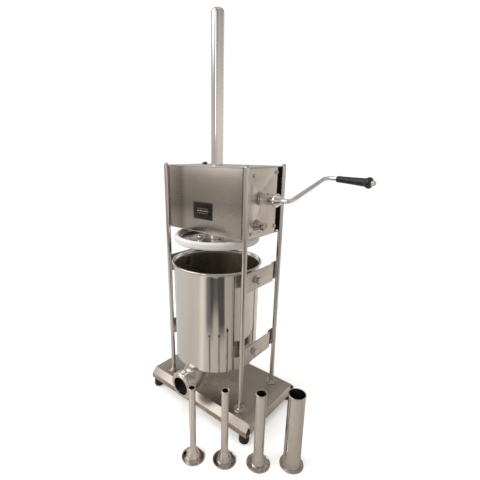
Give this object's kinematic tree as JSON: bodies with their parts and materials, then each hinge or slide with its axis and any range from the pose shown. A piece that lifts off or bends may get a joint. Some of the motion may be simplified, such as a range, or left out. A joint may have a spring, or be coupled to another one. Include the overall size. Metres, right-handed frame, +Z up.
{
  "type": "sausage stuffer",
  "caption": "Vertical sausage stuffer: a geared crank drives a toothed rack and piston down into a tilting steel canister with a bottom outlet; stuffing tubes stand beside it.",
  "frame": {"origin": "on the bench, at the centre of the footprint of the whole set (machine, crank and the four tubes beside it)", "axes": "+Z up, -Y towards the outlet and the name plate, +X towards the crank"},
  "size_m": [0.4988, 0.3946, 0.977],
  "materials": {
    "brushed_steel": "brushed stainless sheet, warm grey",
    "polished_steel": "polished stainless",
    "mirror_steel": "mirror polished stainless",
    "chrome": "hard chrome plate",
    "gear_steel": "machined and oiled gear steel",
    "bronze": "machined bronze",
    "black_plastic": "satin moulded black plastic",
    "black_rubber": "matt black rubber",
    "silicone": "pale translucent silicone"
  },
  "bodies": {
    "frame": {"base_plate": "brushed_steel", "foot_front_left": "black_rubber", "foot_front_right": "black_rubber", "foot_rear_left": "black_rubber", "foot_rear_right": "black_rubber", "post_front_left": "polished_steel", "post_front_right": "polished_steel", "post_rear_left": "polished_steel", "post_rear_right": "polished_steel", "crossbar_upper_left": "brushed_steel", "crossbar_upper_right": "brushed_steel", "crossbar_lower_left": "brushed_steel", "crossbar_lower_right": "brushed_steel", "pivot_pin_left": "polished_steel", "pivot_pin_right": "polished_steel", "housing_bottom": "brushed_steel", "housing_top": "brushed_steel", "housing_front": "brushed_steel", "housing_rear": "brushed_steel", "housing_side_right": "brushed_steel", "housing_side_left": "brushed_steel", "name_plate": "black_plastic", "filler_plug": "black_plastic", "side_screw_front_upper": "polished_steel", "side_screw_front_lower": "polished_steel", "side_screw_rear_upper": "polished_steel", "side_screw_rear_lower": "polished_steel", "bearing_plate_left": "gear_steel", "bearing_plate_inner": "gear_steel", "bearing_plate_outer": "gear_steel", "bush_upper_shaft": "bronze", "bush_lower_shaft": "bronze", "guide_bush_lower": "bronze", "guide_bush_upper": "bronze"},
    "crank": {"upper_shaft": "polished_steel", "upper_gear": "gear_steel", "crank_hub": "polished_steel", "crank_arm": "chrome", "grip_nut": "chrome"},
    "grip": {"crank_grip": "black_plastic"},
    "pinion_shaft": {"pinion_shaft": "polished_steel", "rack_pinion": "gear_steel", "large_gear": "gear_steel", "fast_gear": "gear_steel"},
    "lower_shaft": {"lower_shaft": "polished_steel", "lower_gear": "gear_steel"},
    "piston": {"rack_rod": "chrome", "piston_disc": "brushed_steel", "piston_gasket": "silicone", "piston_nut": "chrome", "piston_bolt": "polished_steel"},
    "air_valve": {"air_valve": "chrome"},
    "canister": {"canister": "mirror_steel"},
    "outlet_nut": {"outlet_nut": "brushed_steel"},
    "lock_screw_right": {"lock_screw_right": "polished_steel"},
    "lock_screw_left": {"lock_screw_left": "polished_steel"},
    "nozzle_small": {"nozzle_small": "polished_steel"},
    "nozzle_medium": {"nozzle_medium": "polished_steel"},
    "nozzle_large": {"nozzle_large": "polished_steel"},
    "nozzle_extra_large": {"nozzle_extra_large": "polished_steel"}
  },
  "joints": [
    {"name": "crank_turn", "type": "hinge", "parent": "frame", "child": "crank", "pos_m": [0.0531, 0.02883, 0.585], "axis": [-1, 0, 0], "range_deg": [-30, 2930]},
    {"name": "grip_spin", "type": "hinge", "parent": "crank", "child": "grip", "pos_m": [0.1571, 0.1899, 0.62516], "axis": [0.982, -0.1835, -0.0457], "continuous": true},
    {"name": "pinion_shaft_turn", "type": "hinge", "parent": "frame", "child": "pinion_shaft", "pos_m": [-0.0729, 0.05238, 0.55144], "axis": [1, 0, 0], "range_deg": [-12, 1080]},
    {"name": "lower_shaft_turn", "type": "hinge", "parent": "frame", "child": "lower_shaft", "pos_m": [0.0271, 0.01883, 0.52617], "axis": [1, 0, 0], "range_deg": [-1080, 12]},
    {"name": "piston_travel", "type": "slide", "parent": "frame", "child": "piston", "axis": [0, 0, -1], "range_m": [-0.0035, 0.3115]},
    {"name": "air_valve_lift", "type": "slide", "parent": "piston", "child": "air_valve", "axis": [0, 0, 1], "range_m": [0, 0.0033]},
    {"name": "canister_tilt", "type": "hinge", "parent": "frame", "child": "canister", "pos_m": [-0.0729, 0.02483, 0.199], "axis": [1, 0, 0], "range_deg": [-60, 0]},
    {"name": "outlet_nut_turn", "type": "hinge", "parent": "canister", "child": "outlet_nut", "pos_m": [-0.0729, -0.10317, 0.109], "axis": [0, -1, 0], "range_deg": [0, 1080]},
    {"name": "lock_screw_right_turn", "type": "hinge", "parent": "frame", "child": "lock_screw_right", "pos_m": [0.0531, 0.02483, 0.393], "axis": [1, 0, 0], "range_deg": [0, 1080]},
    {"name": "lock_screw_left_turn", "type": "hinge", "parent": "frame", "child": "lock_screw_left", "pos_m": [-0.1989, 0.02483, 0.393], "axis": [-1, 0, 0], "range_deg": [0, 1080]},
    {"name": "nozzle_small_lift", "type": "slide", "parent": "frame", "child": "nozzle_small", "axis": [0, 0, 1], "range_m": [0, 0.3]},
    {"name": "nozzle_medium_lift", "type": "slide", "parent": "frame", "child": "nozzle_medium", "axis": [0, 0, 1], "range_m": [0, 0.3]},
    {"name": "nozzle_large_lift", "type": "slide", "parent": "frame", "child": "nozzle_large", "axis": [0, 0, 1], "range_m": [0, 0.3]},
    {"name": "nozzle_extra_large_lift", "type": "slide", "parent": "frame", "child": "nozzle_extra_large", "axis": [0, 0, 1], "range_m": [0, 0.3]}
  ],
  "couplings": [
    {"joint": "pinion_shaft_turn", "follows": "crank_turn", "ratio": 0.36667},
    {"joint": "lower_shaft_turn", "follows": "crank_turn", "ratio": -0.36667},
    {"joint": "piston_travel", "follows": "crank_turn", "m_per_rad": 0.00605}
  ]
}
